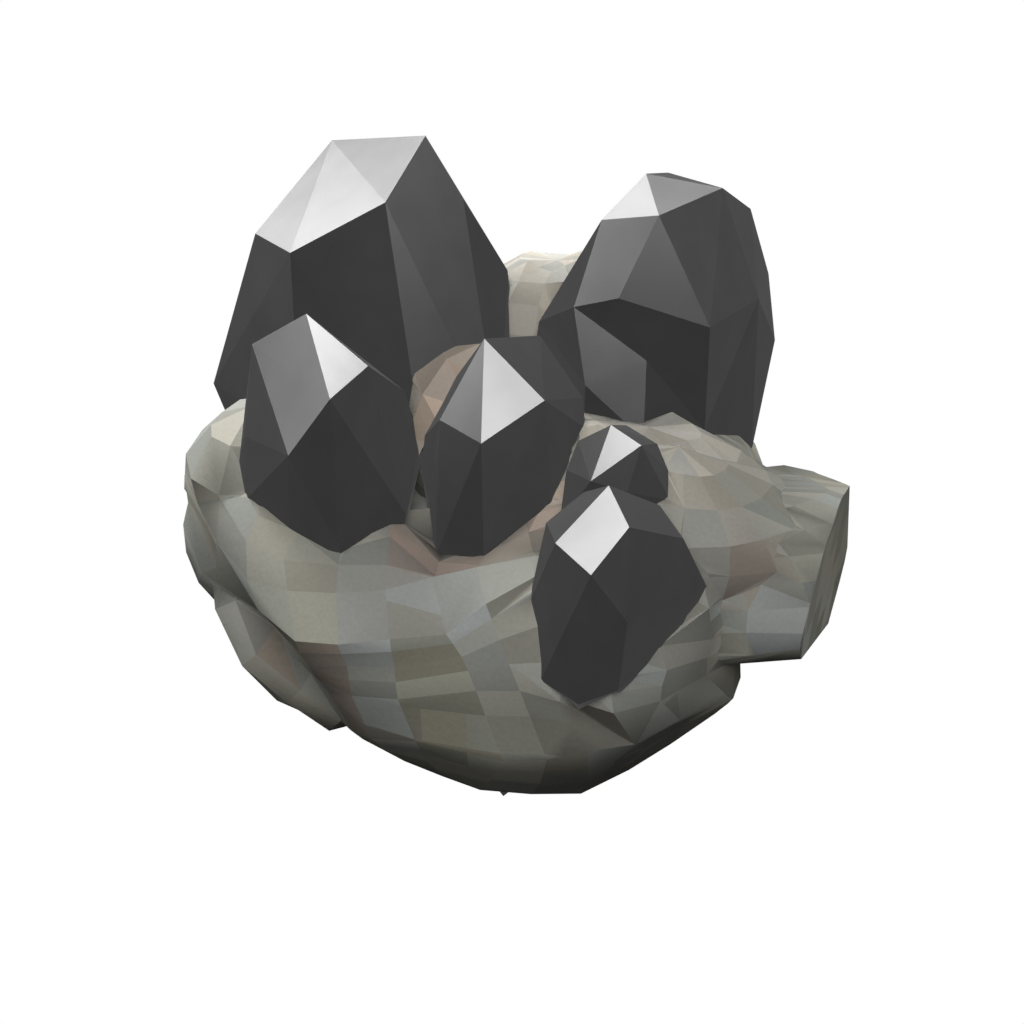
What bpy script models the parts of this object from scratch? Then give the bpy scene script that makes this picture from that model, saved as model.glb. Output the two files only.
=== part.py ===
"""Tin ore specimen: dark, flat-faced crystals grown on a lumpy piece of matrix rock.

Sizes are in millimetres and turned into metres when a mesh is made. +Z is up, -Y is the
side that the crystals show best, and the origin is in the middle of the flat rest below.
"""

import math

import bmesh
import bpy
import numpy as np
from mathutils import Euler, Vector, noise

MM = 0.001
SEAM = 0.3  # gap between a crystal and the pocket that it sits in

# --- the matrix rock: a bowl with rounded lumps grown onto it ---------------------------
# The bowl is spun through rings of corners, from its floor out over the lip and down to
# the foot. Each ring starts on the left and goes round by the front.
ROCK_HEART = (0, -2, 28)
BOWL_FLOOR = (-3, -2, 44)
BOWL_FOOT = (0, -3, -4)
BOWL_RINGS = {
    "under the crystals": [
        (-43, 2, 56), (-40, -12, 55), (-36, -19, 54),
        (-31, -23, 53.5), (-25, -27, 52.5), (-17.5, -20, 51.5),
        (-11, -15, 42), (-5, -19, 43), (2, -17, 49.5), (10, -20, 54), (24, -14, 52), (30, 0, 52),
        (20, 12, 50), (0, 18, 48), (-20, 16, 50), (-38, 10, 54),
    ],
    "inner slope": [
        (-49.5, -1, 54), (-44, -16, 51.5), (-39.5, -22.5, 48),
        (-33, -28, 48), (-25.3, -31.5, 49.5), (-18, -30, 48.5),
        (-11, -29, 46), (-5, -29, 46.5), (3, -26, 48.5), (12, -27, 50), (26, -24, 49), (35, -2, 50),
        (29, 22, 49), (3, 32, 49), (-25, 30, 50), (-43, 12, 54),
    ],
    "ledge": [
        (-52.5, -3, 48.5), (-44.8, -20, 46.5), (-39, -26, 43.5),
        (-32, -31.7, 45.2), (-25.3, -34.5, 46.6), (-18.2, -33.5, 46.5),
        (-11.3, -33.5, 48.7), (-5, -33, 50), (3.6, -30.5, 50.5),
        (13, -31, 49), (28, -28, 45.5), (40, -4, 45),
        (36, 28, 46), (4, 39, 46), (-29, 36, 46), (-48, 16, 49),
    ],
    "lip": [
        (-52, -4, 44), (-46, -19, 41), (-37.5, -29, 40),
        (-30.5, -36.2, 39.7), (-24.7, -39.2, 41), (-17.1, -39.7, 42.3),
        (-9.2, -41, 44), (-3.6, -38.5, 47.5), (4, -33.5, 50), (13, -40, 44), (29, -30, 41), (42, -4, 41),
        (39, 31, 41), (5, 43, 41), (-31, 40, 41), (-50, 18, 44),
    ],
    "wall high": [
        (-53, -7, 36.5), (-50, -13, 34.5), (-38, -22.5, 34),
        (-29.5, -35, 34.2), (-23.8, -38.5, 36.6), (-16.5, -40.8, 38.3),
        (-7, -42, 41), (-1.7, -41.5, 43.4), (4.6, -41, 46), (14, -46, 40), (30, -31, 36), (43, -4, 36),
        (39, 32, 35), (5, 44, 35), (-32, 40, 35), (-50, 18, 37),
    ],
    "wall middle": [
        (-46.5, -8, 28), (-43, -14, 27), (-35, -22, 26),
        (-28, -32.5, 27.5), (-23.4, -39.3, 31.8), (-16, -42, 33.8),
        (-5, -44, 36.7), (1.1, -44.5, 36.8), (6.6, -46.5, 36.5),
        (13.8, -48, 36), (29, -33, 31), (42, -4, 29),
        (37, 30, 28), (4, 42, 28), (-31, 37, 28), (-46, 17, 29),
    ],
    "wall low": [
        (-39.5, -9, 19), (-36, -15, 18), (-30, -22, 17), (-25, -31, 19), (-21, -38, 23), (-14, -41.5, 25.5),
        (-1.3, -44.5, 24.7), (5, -45, 25), (11, -47, 27.5), (18, -43.5, 26), (34, -28, 22.5), (38, -4, 20),
        (32, 24, 19), (3, 35, 18), (-26, 30, 18), (-38, 13, 19),
    ],
    "underside": [
        (-34, -8, 12), (-30, -14, 10.5), (-26, -19, 11), (-21, -24, 10.5), (-17, -27, 10), (-11, -29, 8.5),
        (-5, -31, 7.4), (3, -31.5, 6.5), (11, -29, 4.8), (19, -25.5, 6), (31, -18, 11.5), (32, -4, 11),
        (23, 16, 8), (1, 24, 7), (-19, 20, 8), (-31, 8, 10),
    ],
    "foot": [
        (-17, -3, -1), (-16, -7, -1), (-13, -11, -1), (-10, -14, -1), (-7, -16, -1), (-4, -17.5, -1),
        (-1, -18, -1), (3, -18, -1), (7, -17.5, -1), (11, -15, -1), (15, -10, -1), (17, -2, -1),
        (12, 8, -1), (0, 12, -1), (-11, 9, -1), (-17, 3, -1),
    ],
}
COLUMN_SPLITS = (1, 1, 1, 1, 1, 1, 1, 1, 1, 2, 3, 4, 4, 4, 4, 2)  # patches between two corners of a ring
ROW_SPLITS = (2, 1, 1, 2, 2, 1, 2, 2)  # and between two rings
SHARP_RINGS = ("ledge", "lip")

CELL_WIDTH = 8.0  # about the width and height of the patches that a lump is made of
CELL_HEIGHT = 6.5
RIPPLES = ((14, 1.0), (5, 0.8))  # (width, height) of the uneven weathering
RIPPLE_SEED = (3.1, 7.4, 1.6)
LUMP_WEAR = 1.9  # the lumps are this many times as uneven as the bowl
GROUND_SIDE = 200  # the block that cuts the flat rest

# name: (centre, radii, turn about X, Y and Z in degrees, flat faces broken across the lump);
# a flat face is a point on it and the direction that it looks in
ROCK_LUMPS = {
    "left_lobe": ((-41, 0, 49), (12, 17, 10), (0, 0, 0), ()),
    "left_slab": ((-33.5, -16.5, 28.5), (19, 11, 10.5), (0, 44, -37), ()),
    "right_crest": ((20, -3, 46.5), (22, 12, 11.5), (0, 8, 0), ()),
    "right_apron": ((24, -8, 43.5), (24, 21, 12.5), (0, 8, 0), ()),
    "right_knob": (
        (30, -8, 30), (52, 22, 20), (0, 0, 0),
        (
            ((55, 0, 30), (0.92, -0.38, -0.04)),
            ((54, 4, 40), (0.72, 0.48, 0.5)),
            ((40, -27, 30), (0.1, -0.78, -0.62)),
            ((40, -25, 28), (0.05, -0.42, -0.9)),
        ),
    ),
    "centre_hump": ((-5, -4, 54), (13, 9, 18), (0, 0, 0), ()),
    "back_wall": (
        (8, 34, 44), (30, 14, 28), (0, 0, 0),
        (
            ((8, 44, 44), (0.12, 0.96, 0.25)),
            ((-12, 40, 52), (-0.72, 0.62, 0.31)),
            ((26, 40, 51), (0.7, 0.64, 0.31)),
        ),
    ),
    "back_left_seat": (
        (-24, 23, 33), (26, 21, 18), (0, 0, 0),
        (((-30, 39, 33), (-0.35, 0.92, -0.15)), ((-45, 26, 33), (-0.92, 0.33, -0.2))),
    ),
    "back_right_seat": ((28, 21, 33), (18, 20, 15), (0, 0, 0), (((37, 34, 33), (0.6, 0.78, -0.12)),)),
}

# the rock broke off flat under its right side: a point on the break, and where it looks
BREAK_POINT = (17.5, -43, 26)
BREAK_OUTWARD = (0.5, -0.66, -0.56)

# --- the crystals: corners of their flat faces, ring by ring from the tip down ----------
CRYSTALS = {
    "crystal_back_left": [
        [(-29.5, 28.75, 93.75), (-13.25, 14, 98.5), (-20, 34, 92)],
        [(-41.25, 16.75, 82), (-33.75, 3.5, 83.5), (-18.75, 1.5, 92), (-7.75, 17.75, 87.25)],
        [(-10, 34, 84), (-35, 36, 81), (-4, 38, 66), (-24, 45, 62), (-46, 38, 58)],
        [(-0.75, 28.25, 71.5), (0.75, 27.5, 58), (1.5, 26, 42), (-52.75, 25.5, 51.5), (-49.5, 24, 42)],
        [(-33.75, -0.75, 54), (-13.75, -5.75, 52.75), (-2, 9.25, 48.5)],
        [(-38, 12, 34), (-20, 6, 34), (-4, 16, 34), (-10, 30, 35), (-36, 30, 35)],
    ],
    "crystal_front_left": [
        [(-29, -16, 81.5), (-38.5, -8.75, 73.75), (-20.5, -17.75, 74.25), (-24.5, -30.25, 75)],
        [(-31, -29, 65.75), (-40, -13.75, 61), (-36, -7, 65), (-20, -6, 67), (-16.25, -8, 65.75)],
        [(-14.25, -7.5, 57.5), (-14.25, -10, 54), (-15.75, -20, 51), (-24.75, -30.5, 52.25)],
        [(-41.5, -12.25, 56), (-40.25, -16.25, 51.5), (-36, -9, 49), (-19, -8, 45)],
        [(-34, -20, 41), (-24, -25, 41), (-18, -19, 40), (-22, -12, 39), (-33, -13, 40)],
    ],
    "crystal_centre": [
        [(-4, -13.75, 76.75), (4.5, 7.5, 68.25), (4.75, -16, 68), (11.25, 1.75, 60), (-8.2, 3.4, 62)],
        [(-10.75, -13.75, 63.75), (-4.5, -19.5, 62.75), (11.5, -4, 57.5), (-9.5, -6, 65.75)],
        [(-14, -8, 57.5), (-14.25, -9, 53.75), (-12.75, -14, 50.25),
         (-4.25, -21.75, 45), (5.75, -17.75, 51.5)],
        [(-11.75, -17.5, 42.25), (-10, -16, 40), (4, -16, 40), (8, -4, 42), (0, 3, 44), (-9.2, -4.6, 42)],
    ],
    "crystal_back_right": [
        [(21, 16, 92), (34, 21.5, 88), (13.5, 4, 88.5), (22, 2, 90), (26, 30, 88)],
        [(41.5, 37, 79.5), (45.5, 36, 68), (41, 19, 70),
         (30, -1.5, 73.5), (16, -2.5, 78.5), (9.5, 1.5, 75.5)],
        [(4.5, 17.5, 66.5), (4, 22.5, 60), (11.5, 3, 61.5), (20.5, -4, 69), (47, 32, 57)],
        [(30, 44, 66), (10, 35, 66), (31, 0.5, 55), (21.5, 2.5, 52)],
        [(43, 23, 39.5), (12, 10, 44), (8, 26, 44), (30, 38, 44), (30, 10, 40)],
    ],
    "crystal_small_right": [
        [(14, -23, 67.5), (18.5, -22.5, 64), (11, -29.5, 62), (9.75, -16.75, 61.75), (17, -13.5, 62.75)],
        [(8, -19.25, 58.25), (21.75, -13.75, 59.75), (23.5, -15.25, 56),
         (16.5, -26, 58.25), (16, -11.5, 56.75)],
        [(23.5, -19.5, 53.25), (7, -24, 52.5), (11, -27.5, 51.75), (8.25, -18, 49), (17, -12.5, 48)],
        [(12, -22, 42), (19, -21, 42), (17, -16, 42)],
    ],
    "crystal_front_right": [
        [(13.25, -33, 63.25), (15.25, -44.25, 63.25), (10, -51.5, 60.5), (5.75, -42, 59.5)],
        [(4.75, -33.25, 57.5), (10, -30, 60.5), (21.25, -25.75, 56), (24, -33, 54.75)],
        [(28.75, -28, 43.25), (28.5, -27.25, 36), (2.25, -37.25, 46.25), (4, -44.5, 38.75)],
        [(15.25, -48.25, 51), (14.5, -47.75, 39.5), (9, -49.25, 38.25), (6, -31, 49), (20, -25.5, 45)],
        [(8, -30, 34), (22, -25, 34), (10, -39, 28), (19, -36, 28), (20, -30, 29), (10, -32, 29)],
    ],
    "crystal_tip_low": [
        [(-1.4, -28, 3.3), (-2.2, -28, 4.6), (-0.5, -28, 4.2)],
        [(-2, -24, 9), (0.4, -24, 9), (-0.8, -22, 6)],
    ],
}
# corners that growth left behind: each one's place on the hull, and where it lies
PRESSED_IN = {
    "crystal_back_right": {
        (20.5, -4, 69): (21, 0.5, 67),
        (22, 2, 90): (21.5, -1.5, 91),
        (11.5, 3, 61.5): (11.5, 0, 63),
        (21.5, 2.5, 52): (21, -1, 54),
        (31, 0.5, 55): (31.5, 4.5, 53),
        (30, -1.5, 73.5): (30, -3, 74),
    },
}


def ripple(point):
    """How far weathering raises the rock at a point."""
    height = 0
    for width, tall in RIPPLES:
        height += tall * noise.noise(Vector(point) / width + Vector(RIPPLE_SEED))
    return height


def outward_ripple(place):
    """The same, as a step away from the middle of the rock."""
    return (place - Vector(ROCK_HEART)).normalized() * ripple(place)


# --- Blender objects ----------------------------------------------------------------------


def clear_scene():
    for obj in list(bpy.data.objects):
        bpy.data.objects.remove(obj)


def new_material(name, colour, roughness, metallic):
    material = bpy.data.materials.new(name)
    material.use_nodes = True
    surface = material.node_tree.nodes["Principled BSDF"]
    surface.inputs["Base Color"].default_value = (*colour, 1)
    surface.inputs["Roughness"].default_value = roughness
    surface.inputs["Metallic"].default_value = metallic
    return material


def new_collection(name):
    collection = bpy.data.collections.new(name)
    bpy.context.scene.collection.children.link(collection)
    return collection


def new_object(name, shape, collection, material=None):
    """An object from a bmesh in millimetres, with its faces looking outward."""
    bmesh.ops.recalc_face_normals(shape, faces=shape.faces)
    bmesh.ops.scale(shape, vec=(MM, MM, MM), verts=shape.verts)
    mesh = bpy.data.meshes.new(name)
    shape.to_mesh(mesh)
    shape.free()
    if material:
        mesh.materials.append(material)
    obj = bpy.data.objects.new(name, mesh)
    collection.objects.link(obj)
    return obj


def curve_through(points, splits, closed):
    """Points on the smooth curve through the given ones, so many between each two."""
    count = len(points)
    places = []
    for index, pieces in enumerate(splits):
        if closed:
            before, start, end, after = (points[(index + step) % count] for step in (-1, 0, 1, 2))
        else:
            start, end = points[index], points[index + 1]
            before = points[index - 1] if index > 0 else start
            after = points[index + 2] if index + 2 < count else end
        for piece in range(pieces):
            share = piece / pieces
            pull_in = (end - before) * share * (1 - share) ** 2 / 2
            pull_out = (after - start) * share**2 * (1 - share) / 2
            ease = share**2 * (3 - 2 * share)
            places.append(start.lerp(end, ease) + pull_in - pull_out)
    return places if closed else places + [points[-1]]


def break_flat(shape, point, outward):
    """Takes off what lies beyond a plane, and closes the shape with one flat face."""
    everything = shape.verts[:] + shape.edges[:] + shape.faces[:]
    bmesh.ops.bisect_plane(shape, geom=everything, plane_co=point, plane_no=outward, clear_outer=True)
    rim = [edge for edge in shape.edges if edge.is_boundary]
    bmesh.ops.holes_fill(shape, edges=rim)


def bowl_rows():
    """The bowl's rows of corners: smooth round each ring, and sharp across the ledge and lip."""
    names = list(BOWL_RINGS)
    rings = [curve_through([Vector(p) for p in ring], COLUMN_SPLITS, True) for ring in BOWL_RINGS.values()]
    breaks = [0] + [names.index(name) for name in SHARP_RINGS] + [len(rings) - 1]
    columns = []
    for line in zip(*rings):
        column = [line[0]]
        for first, last in zip(breaks, breaks[1:]):
            column += curve_through(line[first : last + 1], ROW_SPLITS[first:last], False)[1:]
        columns.append(column)
    return list(zip(*columns))


def bowl_shape():
    """The bowl as a lattice of patches, closed by a fan on its floor and one at its foot."""
    shape = bmesh.new()
    rows = []
    for row in bowl_rows():
        rows.append([shape.verts.new(place + outward_ripple(place)) for place in row])
    for upper, lower in zip(rows, rows[1:]):
        for index in range(len(upper)):
            shape.faces.new((upper[index - 1], lower[index - 1], lower[index], upper[index]))
    for row, middle in ((rows[0], BOWL_FLOOR), (rows[-1], BOWL_FOOT)):
        hub = shape.verts.new(middle)
        for index in range(len(row)):
            shape.faces.new((row[index - 1], row[index], hub))
    break_flat(shape, BREAK_POINT, BREAK_OUTWARD)
    return shape


def ground_shape():
    """A block with its top at the height that the specimen stands on."""
    shape = bmesh.new()
    bmesh.ops.create_cube(shape, size=GROUND_SIDE)
    bmesh.ops.translate(shape, vec=(0, 0, -GROUND_SIDE / 2), verts=shape.verts)
    return shape


def lump_shape(centre, radii, turn, faces):
    """A weathered egg of rows and columns, with flat faces broken across it."""
    columns = round(math.tau * (radii[0] + radii[1]) / 2 / CELL_WIDTH)
    rows = round(math.pi * (radii[0] + radii[2]) / 2 / CELL_HEIGHT)
    shape = bmesh.new()
    bmesh.ops.create_uvsphere(shape, u_segments=columns, v_segments=rows, radius=1)
    lean = Euler([math.radians(angle) for angle in turn]).to_matrix()
    for corner in shape.verts:
        ray = lean @ (corner.co * Vector(radii))
        ray += ray.normalized() * ripple(Vector(centre) + ray) * LUMP_WEAR
        corner.co = Vector(centre) + ray
    for point, outward in faces:
        break_flat(shape, point, outward)
    return shape


def crystal_shape(name):
    """The flat-faced solid that spans the corners, with some of them then pressed in."""
    shape = bmesh.new()
    for ring in CRYSTALS[name]:
        for corner in ring:
            shape.verts.new(corner)
    hull = bmesh.ops.convex_hull(shape, input=shape.verts)
    bmesh.ops.delete(shape, geom=hull["geom_interior"], context="VERTS")
    for before, after in PRESSED_IN.get(name, {}).items():
        corner = min(shape.verts, key=lambda vert: (vert.co - Vector(before)).length)
        corner.co = after
    return shape


def grown_out(shape, width):
    """The same solid with every face moved out by the width."""
    bmesh.ops.recalc_face_normals(shape, faces=shape.faces)
    shape.normal_update()
    moved = []
    for corner in shape.verts:
        normals = np.array([face.normal for face in corner.link_faces])
        step = np.linalg.lstsq(normals, np.full(len(normals), width), rcond=0.2)[0]
        moved.append(corner.co + Vector(step))
    for corner, place in zip(shape.verts, moved):
        corner.co = place
    return shape


def join_or_cut(body, other, operation):
    other.hide_render = True
    other.display_type = "WIRE"
    joint = body.modifiers.new(other.name, "BOOLEAN")
    joint.operation = operation
    joint.solver = "EXACT"
    joint.object = other


def new_rock(parts, cutters, stone):
    """The bowl and the lumps grown together, less what lies below the flat rest."""
    rock = new_object("matrix_rock", bowl_shape(), parts, stone)
    for name, lump in ROCK_LUMPS.items():
        join_or_cut(rock, new_object("lump_" + name, lump_shape(*lump), cutters), "UNION")
    join_or_cut(rock, new_object("ground", ground_shape(), cutters), "DIFFERENCE")
    return rock


def main():
    clear_scene()
    parts = new_collection("tin_ore_specimen")
    cutters = new_collection("cutters")
    stone = new_material("matrix_rock", (0.20, 0.19, 0.165), 0.9, 0)
    tin_stone = new_material("cassiterite", (0.035, 0.035, 0.036), 0.3, 0)
    rock = new_rock(parts, cutters, stone)
    for name in CRYSTALS:
        new_object(name, crystal_shape(name), parts, tin_stone)
        pocket = new_object("pocket_" + name, grown_out(crystal_shape(name), SEAM), cutters)
        join_or_cut(rock, pocket, "DIFFERENCE")


main()
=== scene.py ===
"""Looks of the tin ore specimen: patchy, weathered matrix rock and dark, glossy crystals.

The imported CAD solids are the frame, in metres, with the specimen standing on z = 0. The
crystals are the CAD solids themselves. The rock is a copy of the CAD rock, closed up to
the crystals and coloured patch by patch.
"""

import math

import bmesh
import bpy
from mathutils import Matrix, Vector, noise
from mathutils.bvhtree import BVHTree


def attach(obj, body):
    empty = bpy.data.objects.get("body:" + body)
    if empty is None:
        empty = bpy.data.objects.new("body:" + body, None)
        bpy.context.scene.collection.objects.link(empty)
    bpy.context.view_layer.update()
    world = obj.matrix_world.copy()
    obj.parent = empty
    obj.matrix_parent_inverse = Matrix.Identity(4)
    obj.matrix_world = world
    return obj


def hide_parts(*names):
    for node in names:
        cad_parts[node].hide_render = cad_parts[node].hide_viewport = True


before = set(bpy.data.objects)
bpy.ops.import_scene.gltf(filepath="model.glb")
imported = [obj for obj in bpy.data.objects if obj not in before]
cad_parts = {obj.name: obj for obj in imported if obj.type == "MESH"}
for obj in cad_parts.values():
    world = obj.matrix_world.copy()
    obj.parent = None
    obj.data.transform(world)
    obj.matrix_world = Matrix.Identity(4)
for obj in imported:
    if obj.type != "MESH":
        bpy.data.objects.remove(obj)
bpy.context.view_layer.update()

MM = 0.001

# --- the view ---------------------------------------------------------------------------
LENS = 50  # millimetres
SENSOR = 36  # millimetres wide
VIEW_DISTANCE = 235 * MM
VIEW_ELEVATION = 30  # degrees above the horizon
VIEW_TARGET = (0, 0, 40 * MM)

# --- the light --------------------------------------------------------------------------
# far softboxes that light the rock: (azimuth and elevation in degrees, width, strength);
# azimuth 0 is the specimen's right, 90 behind it, 270 the viewer
ROCK_LIGHTS = {
    "key_back_left": (120, 40, 36, 7.6),
    "fill_front": (260, 52, 42, 3.2),
    "rim_back_right": (40, 10, 36, 2.6),
}
# and those that only show as gloss on the crystals
GLOSS_LIGHTS = {
    "gloss_back_high": (132, 45, 30, 1.13),
    "gloss_back_right": (60, 36, 30, 1.13),
    "gloss_back": (100, 28, 30, 0.57),
    "gloss_back_left": (140, 20, 30, 0.66),
    "gloss_right": (0, 20, 30, 1.23),
    "gloss_front": (276, 14, 30, 0.9),
    "gloss_left": (180, 12, 30, 0.41),
    "gloss_left_low": (168, 3, 30, 0.16),
}
ROOM_GLOW = 0.024  # radiance of the dim room, for the rock
ROOM_GLOSS = 0.125  # and in the crystals' gloss
BACKDROP = 1.0  # what the camera sees behind the specimen: white
FLOOR_HALF_SIDE = 3  # metres

# --- the rock's patches -----------------------------------------------------------------
WELD = 0.001 * MM  # corners nearer than this are one
SEAM_REACH = 0.8 * MM  # corners this near a crystal close the seam
SEAM_BITE = 0.15 * MM  # and end this deep in it
QUAD_BEND = math.radians(40)  # two triangles that bend less make one patch
QUAD_SKEW = math.radians(60)  # if the patch's corners lie this near to square
FLAT = math.radians(0.5)  # faces that bend less are one flat face
CREASE = math.radians(23)  # edges that bend more stay crisp
PATCH_LIMIT = 60 * MM * MM  # faces larger than this are split into patches
PATCH_SIDE = 6.5 * MM
CUT_ORDER = (2, 1, 0)  # across Z first, then Y, then X

# --- and their colours ------------------------------------------------------------------
GREY = (0.198, 0.201, 0.190)
OLIVE = (0.186, 0.183, 0.146)
BROWN = (0.178, 0.156, 0.132)
PALE_BLUE = (0.207, 0.215, 0.205)
PINK = (0.232, 0.190, 0.164)
TAN = (0.335, 0.275, 0.225)
BEIGE = (0.305, 0.290, 0.255)

PATCH_CONTRAST = 0.22  # one patch may be this much lighter or darker than the rock around it
PATCH_TINT = 0.045  # and this much redder or bluer
CELLS_PER_MM = 2  # of the noise that picks them, finer than any patch
STAIN_EDGE = 0.5  # a stain fades over this share of its reach
OLIVE_CLOUD = 16  # millimetres: the rock turns from grey to olive and back over about this

# weathering: (place in millimetres, reach in millimetres, colour)
STAINS = (
    ((-40, -16, 28), 12, GREY),
    ((-35, -26, 34), 6, BROWN),
    ((-27, -36, 36), 7, BROWN),
    ((-24, -36, 24), 9, BROWN),
    ((-12, -42, 37), 8, OLIVE),
    ((-8, -44, 28), 11, OLIVE),
    ((-20, -37, 45), 9, PALE_BLUE),
    ((-8, -38, 47), 7, PALE_BLUE),
    ((-11, -26, 47), 10, PINK),
    ((3, -22, 49), 7, PINK),
    ((6, -18, 55), 6, TAN),
    ((-5, -8, 62), 14, TAN),
    ((8, 30, 68), 18, BEIGE),
    ((22, -8, 56), 17, BEIGE),
    ((34, -22, 44), 8, BROWN),
    ((56, -10, 34), 6, BROWN),
    ((42, -28, 36), 8, GREY),
)

# --- surfaces ---------------------------------------------------------------------------
NOISE_DETAIL = 3.0
NOISE_LOW = 0.3  # noise seldom leaves the range between these two
NOISE_HIGH = 0.7
SAND_PER_MM = 1.8
SAND_SHADES = (0.96, 1.04)
BUMPS_PER_MM = 0.9
BUMP_HEIGHT = 0.04 * MM
BUMP_STRENGTH = 0.5
ROCK_ROUGHNESS = 0.9
ROCK_SPECULAR = 0.1
CLOUDS_PER_MM = 0.12  # the crystals' metal is faintly cloudy, between two greys
CRYSTAL_GREYS = (0.235, 0.265)
CRYSTAL_ROUGHNESS = 0.28


def new_nodes(name):
    material = bpy.data.materials.new(name)
    material.use_nodes = True
    tree = material.node_tree
    return material, tree, tree.nodes["Principled BSDF"]


def add(tree, kind, inputs=(), **settings):
    """A node with its settings, and its inputs set or linked."""
    node = tree.nodes.new(kind)
    for name, value in settings.items():
        setattr(node, name, value)
    for socket, value in dict(inputs).items():
        if isinstance(value, bpy.types.NodeSocket):
            tree.links.new(value, node.inputs[socket])
        else:
            node.inputs[socket].default_value = value
    return node


def grain(tree, grains_per_mm, low, high):
    """Fine noise between two values."""
    place = add(tree, "ShaderNodeTexCoord").outputs["Object"]
    grains = {"Vector": place, "Scale": grains_per_mm / MM, "Detail": NOISE_DETAIL}
    cloud = add(tree, "ShaderNodeTexNoise", grains).outputs["Fac"]
    spread = {
        "Value": cloud,
        "From Min": NOISE_LOW,
        "From Max": NOISE_HIGH,
        "To Min": low,
        "To Max": high,
    }
    return add(tree, "ShaderNodeMapRange", spread).outputs["Result"]


def rock_material():
    """Each patch's own colour under a faint sandy grain."""
    material, tree, surface = new_nodes("matrix_rock_weathered")
    patch = add(tree, "ShaderNodeAttribute", attribute_name="patch_colour").outputs["Color"]
    sand = grain(tree, SAND_PER_MM, *SAND_SHADES)
    colour = add(tree, "ShaderNodeVectorMath", {0: patch, 1: sand}, operation="MULTIPLY")
    tree.links.new(colour.outputs["Vector"], surface.inputs["Base Color"])
    height = grain(tree, BUMPS_PER_MM, 0.0, 1.0)
    bumps = {"Height": height, "Distance": BUMP_HEIGHT, "Strength": BUMP_STRENGTH}
    bump = add(tree, "ShaderNodeBump", bumps)
    tree.links.new(bump.outputs["Normal"], surface.inputs["Normal"])
    surface.inputs["Roughness"].default_value = ROCK_ROUGHNESS
    surface.inputs["Specular IOR Level"].default_value = ROCK_SPECULAR
    return material


def crystal_material():
    """Submetallic cassiterite: dark steel grey with a broad gloss, faintly uneven."""
    material, tree, surface = new_nodes("cassiterite_gloss")
    shade = grain(tree, CLOUDS_PER_MM, *CRYSTAL_GREYS)
    colour = add(tree, "ShaderNodeCombineColor", {"Red": shade, "Green": shade, "Blue": shade})
    tree.links.new(colour.outputs["Color"], surface.inputs["Base Color"])
    surface.inputs["Metallic"].default_value = 1
    surface.inputs["Roughness"].default_value = CRYSTAL_ROUGHNESS
    return material


def stained(place):
    """The rock's colour at a point, with every stain that reaches it mixed in."""
    colour = Vector(GREY).lerp(Vector(OLIVE), 0.5 + 0.5 * noise.noise(place / OLIVE_CLOUD))
    for centre, reach, stain in STAINS:
        share = (reach - (place - Vector(centre)).length) / (reach * STAIN_EDGE)
        colour = colour.lerp(Vector(stain), max(0, min(1, share)))
    return colour


def patch_colour(place):
    """The stained colour, a little lighter or darker and redder or bluer in each patch."""
    light, tint, _ = noise.cell_vector(place * CELLS_PER_MM)
    shade = 1 + PATCH_CONTRAST * (2 * light - 1)
    warm = PATCH_TINT * (2 * tint - 1)
    red, green, blue = stained(place) * shade
    return red * (1 + warm), green, blue * (1 - warm), 1


def close_seams(mesh, crystals):
    """Moves the rim of each crystal's pocket up to the crystal."""
    trees = []
    for crystal in crystals:
        corners = [vert.co for vert in crystal.data.vertices]
        faces = [tuple(face.vertices) for face in crystal.data.polygons]
        trees.append(BVHTree.FromPolygons(corners, faces))
    for vert in mesh.vertices:
        for tree in trees:
            near, normal, _, _ = tree.find_nearest(vert.co, SEAM_REACH)
            if near is not None:
                vert.co = near - normal * SEAM_BITE


def large_faces(shape):
    return [face for face in shape.faces if face.calc_area() > PATCH_LIMIT]


def split_flats(shape):
    """Cuts the large faces, without moving them, along planes that lie a patch apart."""
    for axis in CUT_ORDER:
        places = [vert.co[axis] for face in large_faces(shape) for vert in face.verts]
        if not places:
            return
        cut_normal = Vector([float(index == axis) for index in range(3)])
        first, last = (math.ceil(end / PATCH_SIDE) for end in (min(places), max(places)))
        for step in range(first, last):
            large = large_faces(shape)
            edges = dict.fromkeys(edge for face in large for edge in face.edges)
            corners = dict.fromkeys(vert for face in large for vert in face.verts)
            bmesh.ops.bisect_plane(
                shape,
                geom=[*corners, *edges, *large],
                plane_co=cut_normal * step * PATCH_SIDE,
                plane_no=cut_normal,
            )


def quad_mesh(cad):
    """A copy of the CAD rock with its triangles joined, and its flats split, into patches."""
    mesh = cad.data.copy()
    mesh.name = "matrix_rock_skin"
    shape = bmesh.new()
    shape.from_mesh(mesh)
    bmesh.ops.remove_doubles(shape, verts=shape.verts, dist=WELD)
    bmesh.ops.join_triangles(
        shape,
        faces=shape.faces,
        cmp_seam=False,
        cmp_sharp=False,
        cmp_uvs=False,
        cmp_vcols=False,
        cmp_materials=False,
        angle_face_threshold=QUAD_BEND,
        angle_shape_threshold=QUAD_SKEW,
    )
    bmesh.ops.dissolve_limit(shape, angle_limit=FLAT, verts=shape.verts, edges=shape.edges)
    split_flats(shape)
    shape.to_mesh(mesh)
    shape.free()
    return mesh


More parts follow.
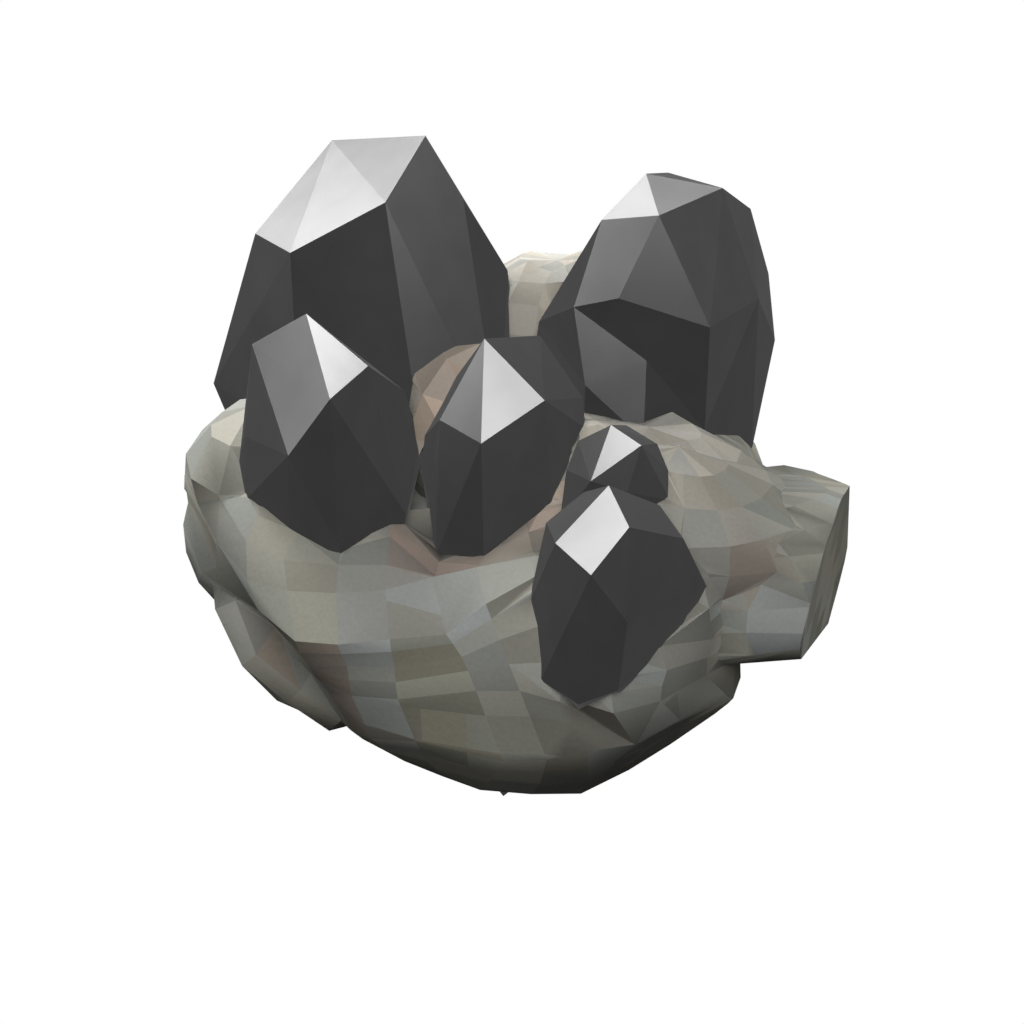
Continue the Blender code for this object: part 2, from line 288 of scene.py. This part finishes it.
def rock_piece():
    """The rock that is seen, in place of the CAD rock."""
    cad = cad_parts["matrix_rock"]
    crystals = [node for name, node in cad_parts.items() if name != "matrix_rock"]
    mesh = quad_mesh(cad)
    close_seams(mesh, crystals)
    colours = mesh.attributes.new("patch_colour", "FLOAT_COLOR", "CORNER")
    for face in mesh.polygons:
        colour = patch_colour(face.center / MM)
        for corner in face.loop_indices:
            colours.data[corner].color = colour
        face.use_smooth = True
    mesh.set_sharp_from_angle(angle=CREASE)
    mesh.materials.clear()
    mesh.materials.append(rock_material())
    rock = bpy.data.objects.new("matrix_rock_skin", mesh)
    bpy.context.scene.collection.objects.link(rock)
    rock.visible_glossy = False
    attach(rock, "root")
    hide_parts("matrix_rock")


def dress_crystals():
    """One gloss for all; they don't mirror each other, so every face keeps one clean tone."""
    finish = crystal_material()
    for name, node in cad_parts.items():
        if name.startswith("crystal"):
            node.material_slots[0].material = finish
            node.visible_glossy = False


def add_camera():
    data = bpy.data.cameras.new("view")
    data.lens = LENS
    data.sensor_width = SENSOR
    camera = bpy.data.objects.new("view", data)
    elevation = math.radians(VIEW_ELEVATION)
    back = Vector((0, -math.cos(elevation), math.sin(elevation)))
    camera.location = Vector(VIEW_TARGET) + back * VIEW_DISTANCE
    camera.rotation_euler = (math.pi / 2 - elevation, 0, 0)
    bpy.context.scene.collection.objects.link(camera)
    bpy.context.scene.camera = camera


def add_softbox(name, azimuth, elevation, width, strength):
    """A far softbox, a disc of light that is as many degrees wide."""
    data = bpy.data.lights.new(name, "SUN")
    data.angle = math.radians(width)
    data.energy = strength
    light = bpy.data.objects.new(name, data)
    around, up = math.radians(azimuth), math.radians(elevation)
    towards = Vector((math.cos(up) * math.cos(around), math.cos(up) * math.sin(around), math.sin(up)))
    light.rotation_euler = towards.to_track_quat("Z", "Y").to_euler()
    bpy.context.scene.collection.objects.link(light)
    return light


def add_lights():
    """Softboxes for the rock, and others for the crystals, whose gloss meets no shadow."""
    for name, setting in ROCK_LIGHTS.items():
        add_softbox(name, *setting).visible_glossy = False
    for name, setting in GLOSS_LIGHTS.items():
        light = add_softbox(name, *setting)
        light.visible_diffuse = False
        light.data.use_shadow = False


def add_room():
    """A white backdrop for the camera, and a dim room for everything else."""
    world = bpy.data.worlds.new("room")
    bpy.context.scene.world = world
    world.use_nodes = True
    world.cycles.sampling_method = "NONE"
    tree = world.node_tree
    path = add(tree, "ShaderNodeLightPath").outputs
    lit = add(tree, "ShaderNodeMix", {0: path["Is Glossy Ray"], 2: ROOM_GLOW, 3: ROOM_GLOSS})
    seen = add(tree, "ShaderNodeMix", {0: path["Is Camera Ray"], 2: lit.outputs[0], 3: BACKDROP})
    background = tree.nodes["Background"]
    background.inputs["Color"].default_value = (1, 1, 1, 1)
    tree.links.new(seen.outputs[0], background.inputs["Strength"])


def add_floor():
    """A pale floor that shows white and throws no light up at the specimen."""
    material, tree, _ = new_nodes("pale_floor")
    glow = add(tree, "ShaderNodeEmission", {"Color": (1, 1, 1, 1), "Strength": BACKDROP})
    tree.links.new(glow.outputs[0], tree.nodes["Material Output"].inputs["Surface"])
    material.cycles.emission_sampling = "NONE"
    shape = bmesh.new()
    bmesh.ops.create_grid(shape, x_segments=1, y_segments=1, size=FLOOR_HALF_SIDE)
    mesh = bpy.data.meshes.new("floor")
    shape.to_mesh(mesh)
    shape.free()
    mesh.materials.append(material)
    floor = bpy.data.objects.new("floor", mesh)
    floor.visible_diffuse = False
    floor.visible_glossy = False
    bpy.context.scene.collection.objects.link(floor)


add_camera()
add_lights()
add_room()
add_floor()
bpy.context.scene.view_settings.view_transform = "Standard"
rock_piece()
dress_crystals()
